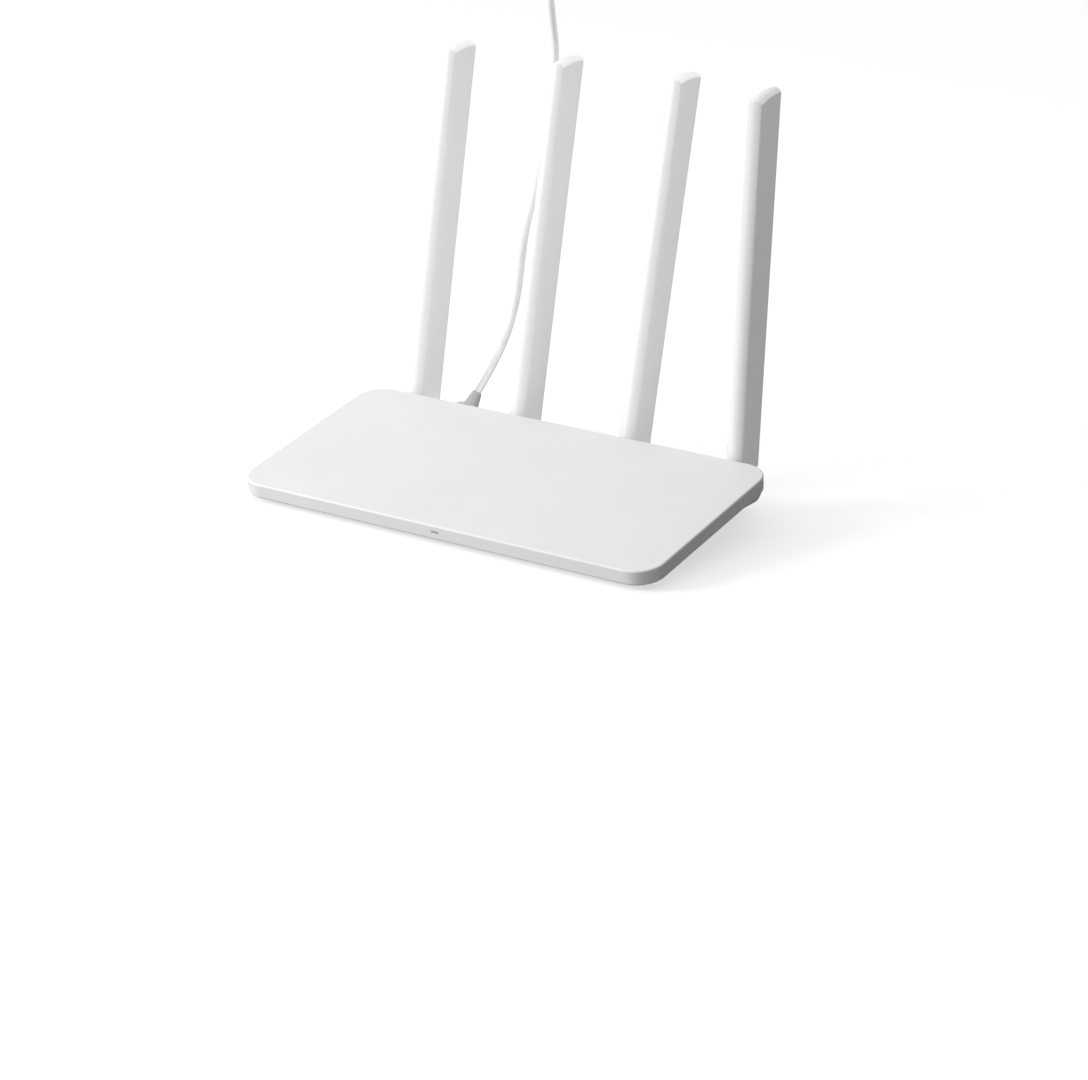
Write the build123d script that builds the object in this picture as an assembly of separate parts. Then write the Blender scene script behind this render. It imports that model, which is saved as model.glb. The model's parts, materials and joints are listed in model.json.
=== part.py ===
"""Desktop wireless router with four folding blade antennas and its power lead.

A thin rounded slab leans forward on a shallow wedge-shaped base. The slab is the top cover, the
base is the bottom shell, and the electronics stand on one board between them. Four flat blades
fold on pins behind the rear wall. A thin lead runs from the power jack up to a small wall adapter.

Millimetres, +X to the right, +Y to the rear, +Z up. The script works with Y = 0 at the slab's
rear top edge and, at the end, moves everything so that the object (without its lead) has Y = 0 at
the middle of its box. Z = 0 is the surface that the rubber feet stand on.
"""
from build123d import *
import math
import os

# Slab (top cover), in its own tilted frame: U = X, V = up the slope to the rear, W = square to it
SLAB_WIDTH = 195.0
SLAB_DEPTH = 96.0
SLAB_THICK = 6.4
SLAB_TILT = 9.8
SLAB_CORNER = 11.5
SLAB_DRAFT = 2.0
REAR_TOP_Z = 24.4
WALL = 1.8
COVER_GAP = 0.15
TOP_EDGE_ROUND = 0.7
LOWER_EDGE_ROUND = 0.9

# Wedge-shaped base
FLOOR_Z = 1.4
FLOOR_THICK = 1.6
BASE_HALF_WIDTH = 79.0
BASE_FRONT_Y = -84.0
BASE_CORNER = 9.0
BASE_FLARE = 30.0
REAR_WALL_Y = -4.0
REAR_WALL_THICK = 1.8

# Board and what stands on it
BOARD_Z = 3.8
BOARD_THICK = 1.2
BOARD_HALF_WIDTH = 76.0
BOARD_FRONT_Y = -75.5
BOARD_REAR_Y = -6.5
BOARD_TOP = BOARD_Z + BOARD_THICK
BOARD_SCREW_SPOTS = [(x, y) for x in (-71.5, 71.5) for y in (-13.0, -69.0)]
FOOT_SPOTS = [(x, y) for x in (-66.0, 66.0) for y in (-10.5, -75.0)]
FOOT_RADIUS = 5.0
CASE_SCREW_SPOTS = [(u, v) for u in (-91.5, 91.5) for v in (-9.0, -87.0)]

# Sockets in the rear wall
RJ45_WIDTH = 15.5
RJ45_HEIGHT = 11.2
RJ45_DEPTH = 16.0
RJ45_MOUTH = (11.8, 7.6, 13.0)
RJ45_X = {"wan_jack": -45.0, "lan_jack_1": -9.5, "lan_jack_2": 9.5}
MOUTH_LIFT = 1.4
DC_X = -64.0
DC_Z = 12.5
DC_HALF = 4.1
DC_DEPTH = 14.0
DC_BARREL_RADIUS = 2.75
DC_PIN_RADIUS = 1.0
RESET_X = 46.0
RESET_Z = 9.0
RESET_RADIUS = 1.5
RESET_TRAVEL = 0.7

# Antennas: the hinge axis lies along X
HINGE_Y = 9.0
HINGE_Z = 11.5
ANTENNA_X = [-77.9, -26.6, 26.6, 77.9]
ANTENNA_LEAN = [10.0, 11.1, 12.7, 2.9]
BLADE_START = 7.0
BLADE_END = 158.4
# Width, depth, radius of the bowed front and rear, and radius of the four edges
BLADE_BASE = (7.5, 16.4, 5.5, 1.1)
BLADE_TIP = (6.4, 16.4, 7.0, 0.8)
BLADE_WALL = 1.0
TIP_SLANT = 12.5
TIP_CROWN_RADIUS = 4.0
TIP_DOME_RADIUS = 38.0
TIP_ROUND = 0.6
TIP_SOLID = 6.0
BARREL_RADIUS = 6.4
PIN_RADIUS = 1.5
PIN_GAP = 0.05
EAR_INNER = 3.7
EAR_OUTER = 6.7
EAR_RADIUS = 6.2
TONGUE_TOP = 22.0
COAX_RADIUS = 0.55
COAX_Z = 7.3

# Power lead: its route from the plug's strain relief up to the adapter
LEAD_RADIUS = 1.5
LEAD_ROUTE = [
    (-64.0, 30.0, 19.0),
    (-63.0, 38.0, 26.5),
    (-61.5, 49.5, 40.5),
    (-60.3, 56.0, 58.0),
    (-60.0, 59.0, 82.0),
    (-60.2, 69.0, 104.0),
    (-60.5, 79.0, 130.0),
    (-60.5, 84.0, 157.0),
    (-60.0, 78.5, 176.5),
    (-60.0, 76.5, 188.0),
]
ADAPTER_X = -60.0
ADAPTER_HALF_WIDTH = 14.0
ADAPTER_FRONT_Y = 64.0
ADAPTER_SPLIT_Y = 84.0
ADAPTER_BACK_Y = 91.0
ADAPTER_Z = 197.0
ADAPTER_HEIGHT = 34.0
ADAPTER_WALL = 1.6
ADAPTER_ROUND = 3.0
ADAPTER_PINS = (-6.35, 6.35)

SLAB = Pos(0, 0, REAR_TOP_Z) * Rot(SLAB_TILT, 0, 0)
INNER_REAR_Y = REAR_WALL_Y - REAR_WALL_THICK


def span(x0, x1, y0, y1, z0, z1):
    """A box from its lowest to its highest corner."""
    place = Pos((x0 + x1) / 2, (y0 + y1) / 2, (z0 + z1) / 2)
    return place * Box(x1 - x0, y1 - y0, z1 - z0)


def rod(x, y, z0, z1, radius):
    """An upright cylinder."""
    return Pos(x, y, (z0 + z1) / 2) * Cylinder(radius, z1 - z0)


def rod_x(y, z, x0, x1, radius):
    """A cylinder along X."""
    return Pos((x0 + x1) / 2, y, z) * Rot(0, 90, 0) * Cylinder(radius, x1 - x0)


def rod_y(x, z, y0, y1, radius):
    """A cylinder along Y."""
    return Pos(x, (y0 + y1) / 2, z) * Rot(90, 0, 0) * Cylinder(radius, y1 - y0)


def plate(inset, w0, w1, draft=0.0):
    """A rounded plate in the slab's frame, from height w0 down to w1."""
    outline = RectangleRounded(SLAB_WIDTH - 2 * inset, SLAB_DEPTH - 2 * inset, SLAB_CORNER - inset)
    face = Pos(0, -SLAB_DEPTH / 2, w0) * outline
    return extrude(face, amount=w0 - w1, dir=(0, 0, -1), taper=draft)


def group(solids):
    """Separate solids that share one node."""
    return Compound(children=list(solids))


# ---------------------------------------------------------------- housing

LED_SLOT_W = -2.8
LED_SLOT = (3.6, 1.0)


def top_cover():
    """The slab: a shell open underneath, with four screw bosses and the indicator slot."""
    body = plate(0, 0, -SLAB_THICK, SLAB_DRAFT)
    rims = body.edges().filter_by(lambda e: abs(e.center().Z) < 0.01)
    body = fillet(rims, TOP_EDGE_ROUND)
    rims = body.edges().filter_by(lambda e: abs(e.center().Z + SLAB_THICK) < 0.01)
    body = fillet(rims, LOWER_EDGE_ROUND)
    body -= plate(WALL, -WALL, -SLAB_THICK - 1)
    for u, v in CASE_SCREW_SPOTS:
        body += rod(u, v, -SLAB_THICK + WALL, -WALL, 2.4)
        body -= rod(u, v, -SLAB_THICK + WALL, -2.3, 1.0)
    width, height = LED_SLOT
    front = -SLAB_DEPTH
    body -= span(-width / 2, width / 2, front - 1, front + 3,
                 LED_SLOT_W - height / 2, LED_SLOT_W + height / 2)
    return SLAB * body


def base_wedge(shrink, z0, rear_y):
    """The base's flaring outline from z0 up, cut square at the rear."""
    half = BASE_HALF_WIDTH - shrink
    depth = 10 - (BASE_FRONT_Y + shrink)
    outline = RectangleRounded(2 * half, depth, BASE_CORNER)
    face = Pos(0, 10 - depth / 2, z0) * outline
    return extrude(face, amount=26, taper=-BASE_FLARE) - span(-150, 150, rear_y, 60, -5, 60)


def rear_windows():
    """The holes in the rear wall for the sockets, the reset button and the antenna brackets."""
    y0, y1 = INNER_REAR_Y - 0.1, REAR_WALL_Y + 0.1
    half = RJ45_WIDTH / 2 + COVER_GAP
    cuts = [span(x - half, x + half, y0, y1, BOARD_TOP - 0.3, BOARD_TOP + RJ45_HEIGHT + COVER_GAP)
            for x in RJ45_X.values()]
    half = DC_HALF + COVER_GAP
    cuts.append(span(DC_X - half, DC_X + half, y0, y1, BOARD_TOP - 0.3, DC_Z + half))
    cuts.append(rod_y(RESET_X, RESET_Z, y0, y1, RESET_RADIUS + 0.05))
    for x in ANTENNA_X:
        cuts.append(span(x - 2.7, x + 2.7, y0, y1, 9.4, 13.6))
        cuts.append(rod_y(x, COAX_Z, y0, y1, COAX_RADIUS + 0.2))
    return cuts


def bottom_shell():
    """The wedge-shaped base with its flange, board bosses, vents and rear-wall windows."""
    outer = base_wedge(0, FLOOR_Z, REAR_WALL_Y)
    outer -= SLAB * span(-150, 150, -150, 60, -SLAB_THICK, 60)
    shell = outer + SLAB * plate(WALL + COVER_GAP, -SLAB_THICK + WALL, -SLAB_THICK)
    inner_z = FLOOR_Z + FLOOR_THICK
    shell -= base_wedge(1.0, inner_z, INNER_REAR_Y)
    for x, y in BOARD_SCREW_SPOTS:
        shell += rod(x, y, inner_z, BOARD_Z, 2.75)
        shell -= rod(x, y, FLOOR_Z + 0.5, BOARD_Z, 1.0)
    for x, y in FOOT_SPOTS:
        shell -= rod(x, y, FLOOR_Z, FLOOR_Z + 0.4, FOOT_RADIUS + 0.1)
    for u, v in CASE_SCREW_SPOTS:
        shell -= SLAB * rod(u, v, -SLAB_THICK - 0.1, -SLAB_THICK + 1.0, 2.0)
        shell -= SLAB * rod(u, v, -SLAB_THICK, -SLAB_THICK + WALL + 0.1, 1.2)
    for i in range(-5, 6):
        shell -= span(9 * i - 1.1, 9 * i + 1.1, -61, -35, FLOOR_Z - 0.1, inner_z + 0.1)
    for cut in rear_windows():
        shell -= cut
    return shell


def case_screws():
    """Four screws square to the slab, heads sunk in the flange, ends in the cover's bosses."""
    under = -SLAB_THICK
    made = []
    for u, v in CASE_SCREW_SPOTS:
        screw = rod(u, v, under, under + 1.0, 1.9) + rod(u, v, under + 1.0, -2.4, 1.0)
        screw -= Pos(u, v, under + 0.2) * Box(2.4, 0.5, 0.5)
        screw -= Pos(u, v, under + 0.2) * Box(0.5, 2.4, 0.5)
        made.append(SLAB * screw)
    return group(made)


def rubber_feet():
    """Four round feet glued in shallow recesses."""
    top = FLOOR_Z + 0.4
    feet = []
    for x, y in FOOT_SPOTS:
        foot = rod(x, y, 0, top, FOOT_RADIUS)
        feet.append(chamfer(foot.edges().group_by(Axis.Z)[0], 0.4))
    return group(feet)


# ---------------------------------------------------------------- electronics

PROCESSOR_SPOT = (22.0, -47.0)
RADIO_SPOT = (-32.0, -49.0)
LED_Y = -73.4


def on_board(x, y, width, depth, height, lift=0.0):
    """A block that stands on the board."""
    z = BOARD_TOP + lift
    return span(x - width / 2, x + width / 2, y - depth / 2, y + depth / 2, z, z + height)


def main_board():
    """The circuit board with its four screw holes."""
    board = span(-BOARD_HALF_WIDTH, BOARD_HALF_WIDTH, BOARD_FRONT_Y, BOARD_REAR_Y, BOARD_Z, BOARD_TOP)
    board = fillet(board.edges().filter_by(Axis.Z), 2.0)
    for x, y in BOARD_SCREW_SPOTS:
        board -= rod(x, y, BOARD_Z - 1, BOARD_TOP + 1, 1.15)
    return board


def board_screws():
    """Four pan-head screws that hold the board on its bosses."""
    made = []
    for x, y in BOARD_SCREW_SPOTS:
        head = rod(x, y, BOARD_TOP, BOARD_TOP + 1.4, 2.0)
        head = fillet(head.edges().group_by(Axis.Z)[-1], 0.5)
        screw = head + rod(x, y, FLOOR_Z + 0.6, BOARD_TOP, 1.0)
        screw -= Pos(x, y, BOARD_TOP + 1.3) * Box(2.4, 0.5, 0.9)
        screw -= Pos(x, y, BOARD_TOP + 1.3) * Box(0.5, 2.4, 0.9)
        made.append(screw)
    return group(made)


def rj45_jack(x):
    """A network socket: a block with its mouth and latch slot open to the rear."""
    half = RJ45_WIDTH / 2
    body = span(x - half, x + half, REAR_WALL_Y - RJ45_DEPTH, REAR_WALL_Y,
                BOARD_TOP, BOARD_TOP + RJ45_HEIGHT)
    width, height, depth = RJ45_MOUTH
    z0 = BOARD_TOP + MOUTH_LIFT
    y0 = REAR_WALL_Y - depth
    body -= span(x - width / 2, x + width / 2, y0, REAR_WALL_Y + 1, z0, z0 + height)
    body -= span(x - 3.1, x + 3.1, y0, REAR_WALL_Y + 1, z0 + height - 0.1, z0 + height + 1.4)
    return body


def jack_contacts():
    """Eight flat springs on the floor of each network socket."""
    z0 = BOARD_TOP + MOUTH_LIFT
    y1 = REAR_WALL_Y - 2.5
    made = []
    for x in RJ45_X.values():
        for i in range(8):
            middle = x + 1.02 * (i - 3.5)
            made.append(span(middle - 0.23, middle + 0.23, y1 - 10.5, y1, z0, z0 + 0.5))
    return group(made)


def dc_jack():
    """The power socket: a block with a round bore open to the rear."""
    body = span(DC_X - DC_HALF, DC_X + DC_HALF, REAR_WALL_Y - DC_DEPTH, REAR_WALL_Y,
                BOARD_TOP, DC_Z + DC_HALF)
    body -= rod_y(DC_X, DC_Z, REAR_WALL_Y - 11, REAR_WALL_Y + 1, DC_BARREL_RADIUS + 0.05)
    return body


def dc_jack_pin():
    """The power socket's centre pin."""
    pin = rod_y(DC_X, DC_Z, REAR_WALL_Y - 11, REAR_WALL_Y - 1.2, DC_PIN_RADIUS)
    return fillet(pin.edges().group_by(Axis.Y)[-1], 0.5)


RESET_FACE_Y = REAR_WALL_Y - 0.4
RESET_END_Y = REAR_WALL_Y - 4.6


def reset_button():
    """A short plunger behind its hole in the rear wall, with a collar that keeps it in."""
    button = rod_y(RESET_X, RESET_Z, RESET_END_Y, RESET_FACE_Y, RESET_RADIUS)
    return button + rod_y(RESET_X, RESET_Z, INNER_REAR_Y - 0.9, INNER_REAR_Y - 0.1, 2.4)


def reset_switch():
    """The push switch that the reset button works."""
    face = RESET_END_Y - RESET_TRAVEL - 0.1
    body = span(RESET_X - 3, RESET_X + 3, face - 3.6, face, BOARD_TOP, RESET_Z + 2.5)
    return body + span(RESET_X - 3.6, RESET_X + 3.6, face - 3.0, face - 1.0, BOARD_TOP, BOARD_TOP + 1)


def status_led():
    """The indicator lamp at the board's front edge."""
    body = on_board(0, LED_Y, 3.0, 1.6, 1.0)
    return body + on_board(0, LED_Y, 2.2, 1.2, 0.6, 1.0)


def light_pipe():
    """A clear bar from above the lamp to the slot in the slab's front wall."""
    width, height = LED_SLOT
    half = width / 2 - 0.05
    bar = SLAB * span(-half, half, -SLAB_DEPTH + 0.1, -73.6,
                      LED_SLOT_W - height / 2, LED_SLOT_W + height / 2)
    leg = span(-half, half, LED_Y - 0.8, LED_Y + 0.8, BOARD_TOP + 1.6, BOARD_TOP + 4.2)
    return bar + leg


def shield_can():
    """A folded steel can over the radio chips."""
    can = on_board(*RADIO_SPOT, 34, 30, 2.6)
    can = fillet(can.edges().filter_by(Axis.Z), 1.2)
    return can - on_board(*RADIO_SPOT, 33.4, 29.4, 2.3)


def chips():
    """The processor, memory, network switch and two radio chips."""
    px, py = PROCESSOR_SPOT
    rx, ry = RADIO_SPOT
    return group([
        on_board(px, py, 15, 15, 1.3),
        on_board(px + 26, py - 2, 9, 13, 1.0),
        on_board(px - 2, py - 20, 10, 10, 0.9),
        on_board(rx - 8, ry, 8, 8, 0.9),
        on_board(rx + 8, ry, 8, 8, 0.9),
    ])


def thermal_pad():
    """The soft pad between the processor and its heat sink."""
    return on_board(*PROCESSOR_SPOT, 14, 14, 0.6, 1.3)


def heat_sink():
    """A finned aluminium block on the processor."""
    px, py = PROCESSOR_SPOT
    sink = on_board(px, py, 30, 26, 1.4, 1.9)
    for i in range(8):
        sink += on_board(px - 14.4 + i * 28.8 / 7, py, 1.1, 26, 3.1, 3.3)
    return sink


def network_magnetics():
    """One transformer block behind each network socket."""
    return group(on_board(x, -28.5, 13, 8, 5.6) for x in RJ45_X.values())


def capacitors():
    """Upright electrolytic capacitors near the power socket."""
    spots = [(-62.0, -27.0), (-62.0, -36.0), (-70.0, -40.0), (60.0, -36.0)]
    made = []
    for x, y in spots:
        can = rod(x, y, BOARD_TOP, BOARD_TOP + 6.4, 3.1)
        made.append(fillet(can.edges().group_by(Axis.Z)[-1], 0.4))
    return group(made)


def coax_start(x):
    """Where an antenna's lead meets the board."""
    return x - math.copysign(6.0, x), -24.0


def coax_connectors():
    """Four snap-on radio connectors."""
    made = []
    for x in ANTENNA_X:
        cx, cy = coax_start(x)
        made.append(on_board(cx, cy, 3, 3, 0.4) + rod(cx, cy, BOARD_TOP, COAX_Z - COAX_RADIUS, 1.1))
    return group(made)


def coax_leads():
    """Four thin radio leads from their connectors into the antenna brackets."""
    made = []
    for x in ANTENNA_X:
        cx, cy = coax_start(x)
        path = FilletPolyline((cx, cy - 1.2, COAX_Z), (cx, cy + 3, COAX_Z),
                              (x, cy + 10, COAX_Z), (x, 1.9, COAX_Z), radius=3.0)
        made.append(sweep(Plane(path @ 0, z_dir=path % 0) * Circle(COAX_RADIUS), path=path))
    return group(made)


# ---------------------------------------------------------------- antennas

def antenna_place(index):
    """The hinge frame of an antenna: origin on the axis, Z along the blade."""
    return Pos(ANTENNA_X[index], HINGE_Y, HINGE_Z) * Rot(-ANTENNA_LEAN[index], 0, 0)


def blade_section(inset, z):
    """The blade's outline at a height on the hinge frame: flat sides between a bowed front and rear."""
    share = (z - BLADE_START) / (BLADE_END - BLADE_START)
    width, depth, bow, edge = [a + share * (b - a) for a, b in zip(BLADE_BASE, BLADE_TIP)]
    width -= 2 * inset
    depth -= 2 * inset
    bow -= inset
    outline = Sketch()
    for side in (-1, 1):
        half = Pos(0, side * depth / 4) * Rectangle(width, depth / 2)
        outline += half & Pos(0, side * (depth / 2 - bow)) * Circle(bow)
    outline = fillet(outline.vertices(), max(edge - inset, 0.4))
    return Pos(0, 0, z) * outline


def blade_solid(inset, z0, z1):
    """The tapering body of the blade between two heights on the hinge frame."""
    return loft([blade_section(inset, z0), blade_section(inset, z1)])


def tip_dome():
    """A barrel lying along X whose top, at the origin, is the blade's crowned end."""
    ring_radius = TIP_DOME_RADIUS - TIP_CROWN_RADIUS
    ring = revolve(Plane.XZ * Pos(0, -ring_radius) * Circle(TIP_CROWN_RADIUS), Axis.X)
    barrel = ring + rod_x(0, 0, -TIP_CROWN_RADIUS, TIP_CROWN_RADIUS, ring_radius)
    return Pos(0, 0, -TIP_DOME_RADIUS) * barrel


def antenna_blade(index):
    """The hollow outer blade, its tip cut at a slant, domed and rounded at the rim."""
    blade = blade_solid(0, BLADE_START, BLADE_END + 4)
    above = span(-10, 10, -20, 20, -4, 12) - tip_dome()
    blade -= Pos(0, 0, BLADE_END) * Rot(TIP_SLANT, 0, 0) * above
    rim = blade.edges().filter_by(lambda e: e.center().Z > BLADE_END - 8)
    blade = fillet(rim, TIP_ROUND)
    blade -= blade_solid(BLADE_WALL, BLADE_START - 0.01, BLADE_END - TIP_SOLID)
    return antenna_place(index) * blade


def antenna_knuckle(index):
    """The hinge barrel with the tongue that plugs into the blade."""
    knuckle = rod_x(0, 0, -3.4, 3.4, BARREL_RADIUS)
    knuckle += span(-3.4, 3.4, -6.2, 6.2, 0, BLADE_START)
    knuckle += span(-2.2, 2.2, -6.2, 6.2, BLADE_START, TONGUE_TOP)
    knuckle -= rod_x(0, 0, -4, 4, PIN_RADIUS + PIN_GAP)
    return antenna_place(index) * knuckle


def antenna_radiator(index):
    """The printed radiator board that stands on the tongue inside the blade."""
    board = span(-0.4, 0.4, -4.5, 4.5, TONGUE_TOP, 146)
    return antenna_place(index) * board


def antenna_bracket(index):
    """The two-eared bracket on the rear wall, held by a snap through its window."""
    x = ANTENNA_X[index]
    bracket = span(x - EAR_OUTER, x + EAR_OUTER, REAR_WALL_Y, 2.0, 5.3, 16.6)
    for side in (-1, 1):
        x0, x1 = sorted((x + side * EAR_INNER, x + side * EAR_OUTER))
        bracket += span(x0, x1, REAR_WALL_Y, HINGE_Y, 5.3, 16.6)
        bracket += rod_x(HINGE_Y, HINGE_Z, x0, x1, EAR_RADIUS)
    bracket += span(x - 2.6, x + 2.6, INNER_REAR_Y - 1, REAR_WALL_Y, 9.5, 13.5)
    bracket += span(x - 2.6, x + 2.6, INNER_REAR_Y - 1, INNER_REAR_Y, 9.0, 14.0)
    bracket -= rod_x(HINGE_Y, HINGE_Z, x - 9, x + 9, PIN_RADIUS)
    bracket -= rod_y(x, COAX_Z, REAR_WALL_Y - 1, 3, COAX_RADIUS + 0.1)
    return bracket


def antenna_pin(index):
    """The hinge pin, headed at one end and riveted at the other."""
    x = ANTENNA_X[index]
    pin = rod_x(HINGE_Y, HINGE_Z, x - EAR_OUTER, x + EAR_OUTER, PIN_RADIUS)
    pin += rod_x(HINGE_Y, HINGE_Z, x - EAR_OUTER - 0.8, x - EAR_OUTER, 2.4)
    return pin + rod_x(HINGE_Y, HINGE_Z, x + EAR_OUTER, x + EAR_OUTER + 0.5, 1.9)


def antenna_washers(index):
    """The two friction washers between the knuckle and the ears."""
    x = ANTENNA_X[index]
    made = []
    for side in (-1, 1):
        x0, x1 = sorted((x + side * (EAR_INNER - 0.26), x + side * EAR_INNER))
        washer = rod_x(HINGE_Y, HINGE_Z, x0, x1, 4.4)
        made.append(washer - rod_x(HINGE_Y, HINGE_Z, x0 - 1, x1 + 1, PIN_RADIUS))
    return group(made)


# ---------------------------------------------------------------- power lead

PLUG_NECK_END = 3.0
PLUG_END = 20.0
PLUG_RADIUS = 5.5


def dc_plug_barrel():
    """The plug's metal sleeve, half in the socket and half in the moulded grip."""
    sleeve = rod_y(DC_X, DC_Z, REAR_WALL_Y - 9.5, PLUG_NECK_END, DC_BARREL_RADIUS)
    return sleeve - rod_y(DC_X, DC_Z, REAR_WALL_Y - 10, -1.0, DC_PIN_RADIUS)


def dc_plug_body():
    """The plug's moulded grip: a neck that clears the slab, then a fatter handle."""
    body = rod_y(DC_X, DC_Z, REAR_WALL_Y, PLUG_END, 4.3)
    grip = rod_y(DC_X, DC_Z, PLUG_NECK_END, PLUG_END, PLUG_RADIUS)
    grip = fillet(grip.edges().filter_by(GeomType.CIRCLE), 0.9)
    return body + grip - rod_y(DC_X, DC_Z, REAR_WALL_Y - 1, PLUG_NECK_END, DC_BARREL_RADIUS)


def relief_path():
    """The strain relief's centre line, from square out of the plug to the lead's direction."""
    first, second = (Vector(*p) for p in LEAD_ROUTE[:2])
    along = (second - first).normalized()
    start = Vector(DC_X, PLUG_END, DC_Z)
    return Bezier(start, start + Vector(0, 4.5, 0), first - along * 4.5, first)


def strain_relief():
    """The tapering, bent strain relief at the plug."""
    path = relief_path()
    sections = []
    for i in range(6):
        share = i / 5
        radius = 4.4 + share * (2.1 - 4.4)
        sections.append(Plane(path @ share, z_dir=path % share) * Circle(radius))
    body = loft(sections)
    return body


def lead_path():
    """The lead's centre line: straight runs joined by tangent arcs."""
    points = [Vector(*p) for p in LEAD_ROUTE]
    radii = []
    for before, at, after in zip(points, points[1:], points[2:]):
        turn = (at - before).get_angle(after - at)
        run = min((at - before).length, (after - at).length)
        radii.append(0.45 * run / math.tan(math.radians(turn) / 2))
    print("lead radii", [round(r, 1) for r in radii])
    return FilletPolyline(*points, radius=radii)


def power_lead():
    """The lead itself."""
    path = lead_path()
    lead = sweep(Plane(path @ 0, z_dir=path % 0) * Circle(LEAD_RADIUS), path=path)
    print("lead length", round(path.length, 1), "volume share",
          round(lead.volume / (math.pi * LEAD_RADIUS ** 2 * path.length), 4))
    return lead


def adapter_box(y0, y1, inset=0.0):
    """The adapter's rounded outline between two depths."""
    width = 2 * (ADAPTER_HALF_WIDTH - inset)
    height = ADAPTER_HEIGHT - 2 * inset
    outline = RectangleRounded(width, height, ADAPTER_ROUND + 1 - inset)
    middle = Pos(ADAPTER_X, y0, ADAPTER_Z + ADAPTER_HEIGHT / 2) * Rot(-90, 0, 0)
    return extrude(middle * outline, amount=y1 - y0, dir=(0, 1, 0))


def adapter_front():
    """The adapter's deep front shell."""
    body = adapter_box(ADAPTER_FRONT_Y, ADAPTER_SPLIT_Y)
    body = fillet(body.edges().group_by(Axis.Y)[0], ADAPTER_ROUND)
    body -= adapter_box(ADAPTER_FRONT_Y + ADAPTER_WALL, ADAPTER_SPLIT_Y, ADAPTER_WALL)
    return body - rod(ADAPTER_X, LEAD_ROUTE[-1][1], ADAPTER_Z - 1, ADAPTER_Z + 3, 2.6)


def adapter_back():
    """The adapter's wall-side cover, which holds the two flat pins."""
    body = adapter_box(ADAPTER_SPLIT_Y, ADAPTER_BACK_Y)
    body = chamfer(body.edges().group_by(Axis.Y)[-1], 0.8)
    body -= adapter_box(ADAPTER_SPLIT_Y, ADAPTER_BACK_Y - 2, ADAPTER_WALL)
    for pin in adapter_pin_solids():
        body -= pin
    return body


def adapter_pin_solids():
    """The two flat mains pins."""
    z = ADAPTER_Z + ADAPTER_HEIGHT * 0.6
    made = []
    for offset in ADAPTER_PINS:
        x = ADAPTER_X + offset
        made.append(span(x - 0.75, x + 0.75, ADAPTER_BACK_Y - 5, ADAPTER_BACK_Y + 17, z - 3.15, z + 3.15))
    return made


def adapter_board():
    """The adapter's circuit board."""
    inset = ADAPTER_WALL
    return span(ADAPTER_X - ADAPTER_HALF_WIDTH + inset, ADAPTER_X + ADAPTER_HALF_WIDTH - inset,
                80.0, 81.2, ADAPTER_Z + 6, ADAPTER_Z + ADAPTER_HEIGHT - 4)


def adapter_transformer():
    """The adapter's transformer on its board."""
    z = ADAPTER_Z + 19
    core = span(ADAPTER_X - 7, ADAPTER_X + 7, 70, 80, z - 6, z + 6)
    return core + span(ADAPTER_X - 4.5, ADAPTER_X + 4.5, 68.5, 80, z - 7.5, z + 7.5)


def adapter_relief():
    """The tapering strain relief under the adapter."""
    end = Vector(*LEAD_ROUTE[-1])
    top = Vector(ADAPTER_X, end.Y, ADAPTER_Z)
    along = end - Vector(*LEAD_ROUTE[-2])
    cone = loft([Plane(end, z_dir=along) * Circle(2.1), Pos(*top) * Circle(3.4)])
    return cone + rod(ADAPTER_X, end.Y, ADAPTER_Z, ADAPTER_Z + 3, 2.6)


def build_nodes():
    """All nodes in the working frame, with those on the power lead in a dictionary of their own."""
    made = {
        "top_cover": top_cover(),
        "bottom_shell": bottom_shell(),
        "case_screws": case_screws(),
        "rubber_feet": rubber_feet(),
        "main_board": main_board(),
        "board_screws": board_screws(),
        "jack_contacts": jack_contacts(),
        "dc_jack": dc_jack(),
        "dc_jack_pin": dc_jack_pin(),
        "reset_button": reset_button(),
        "reset_switch": reset_switch(),
        "status_led": status_led(),
        "light_pipe": light_pipe(),
        "shield_can": shield_can(),
        "chips": chips(),
        "thermal_pad": thermal_pad(),
        "heat_sink": heat_sink(),
        "network_magnetics": network_magnetics(),
        "capacitors": capacitors(),
        "coax_connectors": coax_connectors(),
        "coax_leads": coax_leads(),
    }
    for name, x in RJ45_X.items():
        made[name] = rj45_jack(x)
    for index in range(len(ANTENNA_X)):
        name = f"antenna_{index + 1}"
        made[f"{name}_blade"] = antenna_blade(index)
        made[f"{name}_knuckle"] = antenna_knuckle(index)
        made[f"{name}_radiator"] = antenna_radiator(index)
        made[f"{name}_bracket"] = antenna_bracket(index)
        made[f"{name}_pin"] = antenna_pin(index)
        made[f"{name}_washers"] = antenna_washers(index)
    on_lead = {
        "dc_plug_barrel": dc_plug_barrel(),
        "dc_plug_body": dc_plug_body(),
        "strain_relief": strain_relief(),
        "power_lead": power_lead(),
        "adapter_relief": adapter_relief(),
        "adapter_front": adapter_front(),
        "adapter_back": adapter_back(),
        "adapter_pins": group(adapter_pin_solids()),
        "adapter_board": adapter_board(),
        "adapter_transformer": adapter_transformer(),
    }
    return made, on_lead


def main():
    """Builds every node, centres the object's box and writes the STEP files."""
    made, on_lead = build_nodes()
    boxes = [shape.bounding_box() for shape in made.values()]
    shift = -(min(b.min.Y for b in boxes) + max(b.max.Y for b in boxes)) / 2
    print("moved along Y by", round(shift, 3))
    os.makedirs("parts", exist_ok=True)
    for name, shape in {**made, **on_lead}.items():
        moved = [Pos(0, shift, 0) * solid for solid in shape.solids()]
        export_step(moved[0] if len(moved) == 1 else group(moved), f"parts/{name}.step")


main()
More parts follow.
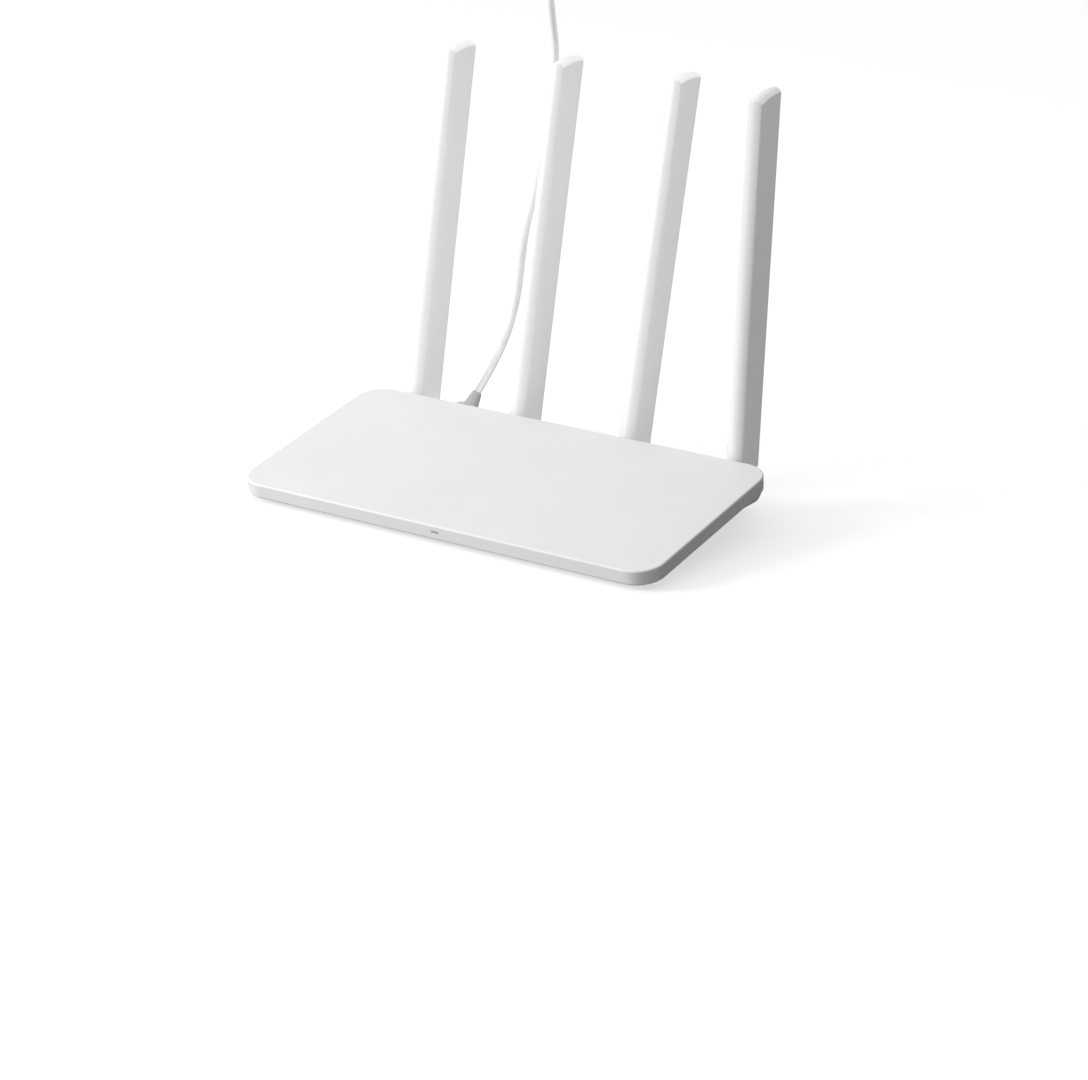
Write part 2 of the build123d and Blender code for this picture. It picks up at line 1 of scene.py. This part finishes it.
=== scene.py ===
"""Looks of a desktop wireless router with four folding blade antennas and its power lead.

Every CAD node keeps its shape and gets a procedural material. The lead's plain tube is replaced by a
smooth one along the same route. Lengths are in metres, in the row frame, unless a name ends in _MM.
"""
import json
import math

import bpy
from mathutils import Matrix, Vector


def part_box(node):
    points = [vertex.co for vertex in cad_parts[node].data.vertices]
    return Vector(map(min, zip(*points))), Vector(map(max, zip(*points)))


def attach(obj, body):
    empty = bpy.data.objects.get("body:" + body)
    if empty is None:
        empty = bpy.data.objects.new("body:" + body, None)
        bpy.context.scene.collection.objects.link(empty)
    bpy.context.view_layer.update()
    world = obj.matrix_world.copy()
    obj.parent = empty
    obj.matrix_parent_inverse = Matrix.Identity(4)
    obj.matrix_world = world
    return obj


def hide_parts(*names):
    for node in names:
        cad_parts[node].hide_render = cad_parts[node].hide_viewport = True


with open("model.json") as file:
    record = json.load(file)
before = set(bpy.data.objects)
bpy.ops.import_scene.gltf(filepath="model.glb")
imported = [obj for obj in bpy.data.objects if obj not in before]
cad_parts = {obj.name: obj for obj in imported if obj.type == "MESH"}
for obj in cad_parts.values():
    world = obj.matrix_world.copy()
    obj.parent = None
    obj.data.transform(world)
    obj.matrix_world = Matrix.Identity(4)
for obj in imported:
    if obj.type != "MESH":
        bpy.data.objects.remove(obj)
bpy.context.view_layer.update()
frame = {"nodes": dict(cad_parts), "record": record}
nodes = frame["nodes"]

MM = 0.001
# The slab's rear top edge stands 4 mm behind the sockets' faces. Places are measured from it along Y.
REAR_EDGE_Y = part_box("dc_jack")[1].y + 4 * MM
ANTENNAS = range(1, 5)


def place(x, y, z):
    """A point given from the slab's rear top edge, in the row frame."""
    return Vector((x, y + REAR_EDGE_Y, z))


# ---------------------------------------------------------------- node trees

def add(tree, kind, inputs=None, **settings):
    """A shader node with its settings, and its inputs set or linked."""
    made = tree.nodes.new(kind)
    for name, value in settings.items():
        setattr(made, name, value)
    for name, value in (inputs or {}).items():
        if isinstance(value, bpy.types.NodeSocket):
            tree.links.new(value, made.inputs[name])
        else:
            made.inputs[name].default_value = value
    return made


def new_material(name):
    """A named material, its tree, its Principled shader and its object coordinates."""
    material = bpy.data.materials.new(name)
    material.use_nodes = True
    tree = material.node_tree
    coordinates = add(tree, "ShaderNodeTexCoord").outputs["Object"]
    return material, tree, tree.nodes["Principled BSDF"], coordinates


def stretched(tree, coordinates, stretch):
    """Coordinates scaled along each axis, for a pattern that runs one way."""
    return add(tree, "ShaderNodeMapping", {"Vector": coordinates, "Scale": stretch}).outputs["Vector"]


def noise(tree, coordinates, size_mm, detail=3.0, roughness=0.5):
    """Noise with blobs of about this size, from 0 to 1."""
    return add(tree, "ShaderNodeTexNoise", {
        "Vector": coordinates,
        "Scale": 1 / (size_mm * MM),
        "Detail": detail,
        "Roughness": roughness,
    }).outputs["Fac"]


def spread(tree, value, low, high, from_low=0.3, from_high=0.7):
    """A value moved from one range to another."""
    return add(tree, "ShaderNodeMapRange", {
        "Value": value,
        "From Min": from_low,
        "From Max": from_high,
        "To Min": low,
        "To Max": high,
    }).outputs["Result"]


def blended(tree, share, first, second):
    """Two colours mixed by a share from 0 to 1."""
    mix = add(tree, "ShaderNodeMix", {"Factor": share}, data_type="RGBA")
    for socket, colour in zip(mix.inputs[6:8], (first, second)):
        if isinstance(colour, bpy.types.NodeSocket):
            tree.links.new(colour, socket)
        else:
            socket.default_value = (*colour, 1.0)
    return mix.outputs[2]


def bumped(tree, height, depth_mm, strength=1.0, below=None):
    """A normal from a height of this depth, over another one if that is given."""
    inputs = {"Height": height, "Distance": depth_mm * MM, "Strength": strength}
    if below is not None:
        inputs["Normal"] = below
    return add(tree, "ShaderNodeBump", inputs).outputs["Normal"]


def shade(colour, by):
    """A colour made lighter or darker."""
    return tuple(min(1.0, channel * by) for channel in colour)


# ---------------------------------------------------------------- materials

FLOW_MARK_MM = 26.0
HANDLING_MM = 9.0


def plastic(name, colour, roughness, grain_mm=0.35, depth_mm=0.006, tint=0.015, flow=(1, 1, 1)):
    """Moulded plastic: a spark-eroded grain, faint flow marks and a slightly uneven sheen."""
    material, tree, shader, coordinates = new_material(name)
    marks = noise(tree, stretched(tree, coordinates, flow), FLOW_MARK_MM, 4.0)
    colours = blended(tree, spread(tree, marks, 0, 1), shade(colour, 1 - tint), shade(colour, 1 + tint))
    grain = noise(tree, coordinates, grain_mm, 2.0, 0.6)
    handled = noise(tree, coordinates, HANDLING_MM, 5.0, 0.65)
    normal = bumped(tree, handled, 8 * depth_mm, 0.35)
    normal = bumped(tree, grain, depth_mm, 1.0, normal)
    tree.links.new(colours, shader.inputs["Base Color"])
    tree.links.new(spread(tree, handled, roughness - 0.04, roughness + 0.05), shader.inputs["Roughness"])
    tree.links.new(normal, shader.inputs["Normal"])
    shader.inputs["Specular IOR Level"].default_value = 0.42
    return material


def soft_rubber(name, colour, roughness):
    """Soft moulded rubber or sheath: fine speckle, a matte sheen and a hint of depth."""
    material, tree, shader, coordinates = new_material(name)
    speckle = noise(tree, coordinates, 0.5, 3.0, 0.7)
    bands = noise(tree, coordinates, 14.0, 3.0)
    base = blended(tree, spread(tree, bands, 0, 1), shade(colour, 0.95), shade(colour, 1.05))
    tree.links.new(base, shader.inputs["Base Color"])
    tree.links.new(spread(tree, speckle, roughness - 0.06, roughness + 0.06), shader.inputs["Roughness"])
    tree.links.new(bumped(tree, speckle, 0.02, 0.6), shader.inputs["Normal"])
    shader.inputs["Sheen Weight"].default_value = 0.08
    shader.inputs["Subsurface Weight"].default_value = 0.04
    shader.inputs["Subsurface Radius"].default_value = (MM, MM, MM)
    return material


def metal(name, colour, roughness, stretch=(1, 1, 1), size_mm=0.6, depth_mm=0.004):
    """Plated or brushed metal, its fine lines drawn out along one way."""
    material, tree, shader, coordinates = new_material(name)
    lines = noise(tree, stretched(tree, coordinates, stretch), size_mm, 4.0, 0.65)
    tarnish = noise(tree, coordinates, 5.0, 4.0, 0.6)
    base = blended(tree, spread(tree, tarnish, 0, 1), shade(colour, 0.88), colour)
    tree.links.new(base, shader.inputs["Base Color"])
    tree.links.new(spread(tree, lines, roughness - 0.07, roughness + 0.09), shader.inputs["Roughness"])
    tree.links.new(bumped(tree, lines, depth_mm), shader.inputs["Normal"])
    shader.inputs["Metallic"].default_value = 1.0
    return material


TRACE_PITCH_MM = 1.1
TRACE_GAP_MM = 0.16
TRACE_LENGTH_MM = 9.0
PAD_PITCH_MM = 3.6


def circuit_board(name, mask, copper, gold):
    """Solder mask over traces, with tinned through-holes between them."""
    material, tree, shader, coordinates = new_material(name)
    traces = add(tree, "ShaderNodeTexBrick", {
        "Vector": coordinates,
        "Scale": 1.0,
        "Brick Width": TRACE_LENGTH_MM * MM,
        "Row Height": TRACE_PITCH_MM * MM,
        "Mortar Size": TRACE_GAP_MM * MM,
        "Mortar Smooth": 0.1,
    }, offset=0.37, squash=0.6, squash_frequency=3).outputs["Fac"]
    holes = add(tree, "ShaderNodeTexVoronoi", {"Vector": coordinates, "Scale": 1 / (PAD_PITCH_MM * MM)})
    pads = spread(tree, holes.outputs["Distance"], 1, 0, 0.10, 0.13)
    weave = noise(tree, stretched(tree, coordinates, (1, 4, 1)), 1.5, 2.0)
    base = blended(tree, traces, mask, copper)
    base = blended(tree, pads, base, gold)
    tree.links.new(base, shader.inputs["Base Color"])
    tree.links.new(spread(tree, weave, 0.3, 0.42), shader.inputs["Roughness"])
    tree.links.new(bumped(tree, traces, 0.03), shader.inputs["Normal"])
    shader.inputs["Coat Weight"].default_value = 0.3
    return material


def capacitor_can(name, sleeve, top):
    """A sleeved can with a bare aluminium top."""
    material, tree, shader, coordinates = new_material(name)
    up = add(tree, "ShaderNodeSeparateXYZ", {
        "Vector": add(tree, "ShaderNodeNewGeometry").outputs["True Normal"],
    }).outputs["Z"]
    bare = spread(tree, up, 0, 1, 0.5, 0.6)
    scuffs = noise(tree, coordinates, 2.0, 4.0)
    tree.links.new(blended(tree, bare, sleeve, top), shader.inputs["Base Color"])
    tree.links.new(bare, shader.inputs["Metallic"])
    tree.links.new(spread(tree, scuffs, 0.28, 0.42), shader.inputs["Roughness"])
    tree.links.new(bumped(tree, scuffs, 0.02), shader.inputs["Normal"])
    return material


def clear_plastic(name, colour, roughness, clearness=0.85):
    """Polished clear or milky plastic, faintly tinted."""
    material, tree, shader, coordinates = new_material(name)
    ripple = noise(tree, coordinates, 1.2, 2.0)
    shader.inputs["Base Color"].default_value = (*colour, 1.0)
    shader.inputs["Transmission Weight"].default_value = clearness
    shader.inputs["IOR"].default_value = 1.49
    tree.links.new(spread(tree, ripple, roughness, roughness + 0.08), shader.inputs["Roughness"])
    tree.links.new(bumped(tree, ripple, 0.01), shader.inputs["Normal"])
    return material


def make_materials():
    """Each material slot of the record, by name."""
    white, antenna, base = (0.87, 0.87, 0.865), (0.80, 0.80, 0.80), (0.76, 0.76, 0.755)
    return {
        "white_shell": plastic("white_shell", white, 0.42),
        "white_base": plastic("white_base", base, 0.55, 0.5, 0.015),
        "antenna_white": plastic("antenna_white", antenna, 0.38, 0.3, 0.004, 0.012, (1, 1, 0.2)),
        "adapter_white": plastic("adapter_white", white, 0.36, 0.3, 0.004),
        "socket_plastic": plastic("socket_plastic", (0.030, 0.030, 0.033), 0.42, 0.3, 0.01, 0.1),
        "socket_black": plastic("socket_black", (0.016, 0.016, 0.016), 0.38, 0.3, 0.01, 0.1),
        "button_plastic": plastic("button_plastic", (0.10, 0.10, 0.105), 0.45, 0.3, 0.008, 0.05),
        "chip_epoxy": plastic("chip_epoxy", (0.018, 0.018, 0.02), 0.5, 0.18, 0.012, 0.12),
        "foot_rubber": soft_rubber("foot_rubber", (0.035, 0.035, 0.035), 0.75),
        "thermal_rubber": soft_rubber("thermal_rubber", (0.17, 0.22, 0.28), 0.7),
        "coax_sheath": soft_rubber("coax_sheath", (0.02, 0.02, 0.02), 0.45),
        "lead_sheath": soft_rubber("lead_sheath", (0.88, 0.88, 0.875), 0.5),
        "steel": metal("steel", (0.56, 0.56, 0.57), 0.3),
        "tinned_steel": metal("tinned_steel", (0.70, 0.70, 0.68), 0.34, (0.15, 1, 1)),
        "nickel": metal("nickel", (0.70, 0.68, 0.64), 0.2),
        "gold_contacts": metal("gold_contacts", (0.83, 0.62, 0.27), 0.22),
        "aluminium": metal("aluminium", (0.72, 0.73, 0.75), 0.36, (1, 0.08, 1)),
        "board_green": circuit_board(
            "board_green", (0.012, 0.085, 0.035), (0.03, 0.16, 0.07), (0.75, 0.55, 0.25)),
        "led_lens": clear_plastic("led_lens", (0.92, 0.95, 1.0), 0.12),
        "clear_pipe": clear_plastic("clear_pipe", (0.62, 0.64, 0.66), 0.10, 0.3),
    }


def dress_nodes(materials):
    """Every CAD node takes the material of its slot in the record."""
    slots = {part["node"]: part["material_slot"] for part in frame["record"]["subparts"]}
    for name, thing in nodes.items():
        thing.data.materials.clear()
        thing.data.materials.append(materials[slots[name]])
    cans = capacitor_can("capacitor_can", (0.02, 0.022, 0.03), (0.7, 0.7, 0.72))
    nodes["capacitors"].data.materials[0] = cans


# ---------------------------------------------------------------- power lead

LEAD_NAME = "power_lead_sheath"
LEAD_RADIUS = 1.5 * MM
LEAD_ROUTE = [
    (-0.0640, 0.0300, 0.0190),
    (-0.0630, 0.0380, 0.0265),
    (-0.0615, 0.0495, 0.0405),
    (-0.0603, 0.0560, 0.0580),
    (-0.0600, 0.0590, 0.0820),
    (-0.0602, 0.0690, 0.1040),
    (-0.0605, 0.0790, 0.1300),
    (-0.0605, 0.0840, 0.1570),
    (-0.0600, 0.0785, 0.1765),
    (-0.0600, 0.0765, 0.1880),
]


def power_lead(material):
    """The lead's smooth sheath, from the plug's strain relief up to the adapter's."""
    line = bpy.data.curves.new("power_lead_line", "CURVE")
    line.dimensions = "3D"
    line.bevel_depth = LEAD_RADIUS
    line.bevel_resolution = 8
    line.resolution_u = 24
    line.use_fill_caps = True
    spline = line.splines.new("NURBS")
    spline.points.add(len(LEAD_ROUTE) - 1)
    for point, spot in zip(spline.points, LEAD_ROUTE):
        point.co = (*place(*spot), 1.0)
    spline.use_endpoint_u = True
    spline.order_u = 3
    line.materials.append(material)
    lead = bpy.data.objects.new(LEAD_NAME, line)
    bpy.context.scene.collection.objects.link(lead)
    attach(lead, "root")
    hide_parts("power_lead")


# ---------------------------------------------------------------- studio and camera

VIEW_AZIMUTH = math.radians(32.647)
VIEW_ELEVATION = math.radians(19.867)
VIEW_ROLL = math.radians(0.808)
VIEW_DISTANCE = 1.3197
VIEW_TARGET = place(-0.00246, -0.01138, -0.02286)
LENS_MM = 105.9
CLIP_NEAR = 0.01
CLIP_FAR = 50.0
FLOOR_SIZE = 12.0
FLOOR_GREY = 0.6
FLOOR_GLOW = 0.58

# The light from above and from below the horizon, then broad lobes: where from, how narrow, how strong
SKY = 0.25
GROUND = 0.05
HORIZON_BLUR = 0.04
LOBES = [
    ((-0.40, -0.10, 1.00), 1.0, 0.42),
    ((-0.10, -1.00, -0.30), 4.0, 0.62),
    ((-0.60, 0.75, 0.30), 2.0, 0.32),
    ((-0.93, -0.28, 0.12), 8.0, 0.50),
]
LIT_POINT = place(0, -0.04, 0.05)
# Where a soft light stands from the lit point, and how wide it is
SOFTBOX_SPOT = Vector((-0.85, -0.75, 0.42))
SOFTBOX_SIZE = 0.6
SOFTBOX_WATTS = 10.8
# A fill on the right and slightly behind for each blade, by its number. The first lights the lead too.
FILL_SPOT = Vector((0.95, 0.35, 0.95))
FILL_SIZE = 0.5
FILL_WATTS = [13.0, 12.2, 11.3, 5.7]


def combined(tree, operation, first, second):
    """Two values put together by a sum, product or other operation."""
    return add(tree, "ShaderNodeMath", {0: first, 1: second}, operation=operation).outputs[0]


def lobe(tree, direction, towards, power, strength):
    """Light from one side, fading out smoothly away from it."""
    facing = add(tree, "ShaderNodeVectorMath", {
        0: direction,
        1: Vector(towards).normalized(),
    }, operation="DOT_PRODUCT")
    lit = combined(tree, "MAXIMUM", facing.outputs["Value"], 0.0)
    return combined(tree, "MULTIPLY", combined(tree, "POWER", lit, power), strength)


def surround():
    """Soft light from all round, strongest from the front left, before a white background."""
    world = bpy.data.worlds.new("studio")
    world.use_nodes = True
    tree = world.node_tree
    direction = add(tree, "ShaderNodeTexCoord").outputs["Generated"]
    height = add(tree, "ShaderNodeSeparateXYZ", {0: direction}).outputs["Z"]
    light = spread(tree, height, GROUND, SKY, -HORIZON_BLUR, HORIZON_BLUR)
    for towards, power, strength in LOBES:
        light = combined(tree, "ADD", light, lobe(tree, direction, towards, power, strength))
    seen = add(tree, "ShaderNodeLightPath").outputs["Is Camera Ray"]
    strength = add(tree, "ShaderNodeMix", {"Factor": seen, "A": light, "B": 1.0}).outputs[0]
    background = tree.nodes["Background"]
    tree.links.new(strength, background.inputs["Strength"])
    background.inputs["Color"].default_value = (1.0, 1.0, 1.0, 1.0)
    bpy.context.scene.world = world


def soft_light(name, spot, size, watts):
    """A large soft light that faces the router."""
    data = bpy.data.lights.new(name, "AREA")
    data.shape = "DISK"
    data.size = size
    data.energy = watts
    lamp = bpy.data.objects.new(name, data)
    bpy.context.scene.collection.objects.link(lamp)
    lamp.location = LIT_POINT + spot
    lamp.rotation_euler = spot.to_track_quat("Z", "Y").to_euler()
    return lamp


def fill(number, watts):
    """A soft light for one blade alone, or for the first blade and the lead. It casts no shadow."""
    lamp = soft_light(f"fill_{number}", FILL_SPOT, FILL_SIZE, watts)
    lamp.data.use_shadow = False
    filled = bpy.data.collections.new(f"filled_{number}")
    filled.objects.link(nodes[f"antenna_{number}_blade"])
    if number == 1:
        filled.objects.link(bpy.data.objects[LEAD_NAME])
    lamp.light_linking.receiver_collection = filled


def floor():
    """A plain pale floor that takes the router's soft shadow."""
    half = FLOOR_SIZE / 2
    mesh = bpy.data.meshes.new("floor")
    corners = [(-half, -half, 0), (half, -half, 0), (half, half, 0), (-half, half, 0)]
    mesh.from_pydata(corners, [], [(0, 1, 2, 3)])
    ground = bpy.data.objects.new("floor", mesh)
    bpy.context.scene.collection.objects.link(ground)
    ground.location.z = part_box("rubber_feet")[0].z
    material, _, shader, _ = new_material("floor")
    shader.inputs["Base Color"].default_value = (FLOOR_GREY, FLOOR_GREY, FLOOR_GREY, 1.0)
    shader.inputs["Roughness"].default_value = 0.9
    shader.inputs["Specular IOR Level"].default_value = 0.0
    shader.inputs["Emission Color"].default_value = (1.0, 1.0, 1.0, 1.0)
    shader.inputs["Emission Strength"].default_value = FLOOR_GLOW
    mesh.materials.append(material)
    ground.visible_diffuse = False
    ground.visible_glossy = False


def camera():
    """The camera at the picture's viewing angle."""
    sine, cosine = math.sin(VIEW_AZIMUTH), math.cos(VIEW_AZIMUTH)
    lift = math.cos(VIEW_ELEVATION)
    back = Vector((sine * lift, -cosine * lift, math.sin(VIEW_ELEVATION)))
    level = Vector((cosine, sine, 0))
    turn = Matrix.Rotation(VIEW_ROLL, 3, back)
    right = turn @ level
    up = back.cross(right)
    data = bpy.data.cameras.new("camera")
    data.lens = LENS_MM
    data.clip_start = CLIP_NEAR
    data.clip_end = CLIP_FAR
    eye = bpy.data.objects.new("camera", data)
    bpy.context.scene.collection.objects.link(eye)
    axes = Matrix((right, up, back)).transposed()
    eye.matrix_world = Matrix.Translation(VIEW_TARGET + VIEW_DISTANCE * back) @ axes.to_4x4()
    bpy.context.scene.camera = eye


materials = make_materials()
dress_nodes(materials)
power_lead(materials["lead_sheath"])
floor()
surround()
soft_light("softbox", SOFTBOX_SPOT, SOFTBOX_SIZE, SOFTBOX_WATTS)
for number, watts in zip(ANTENNAS, FILL_WATTS):
    fill(number, watts)
camera()
bpy.context.scene.view_settings.view_transform = "Standard"

bpy.context.view_layer.update()
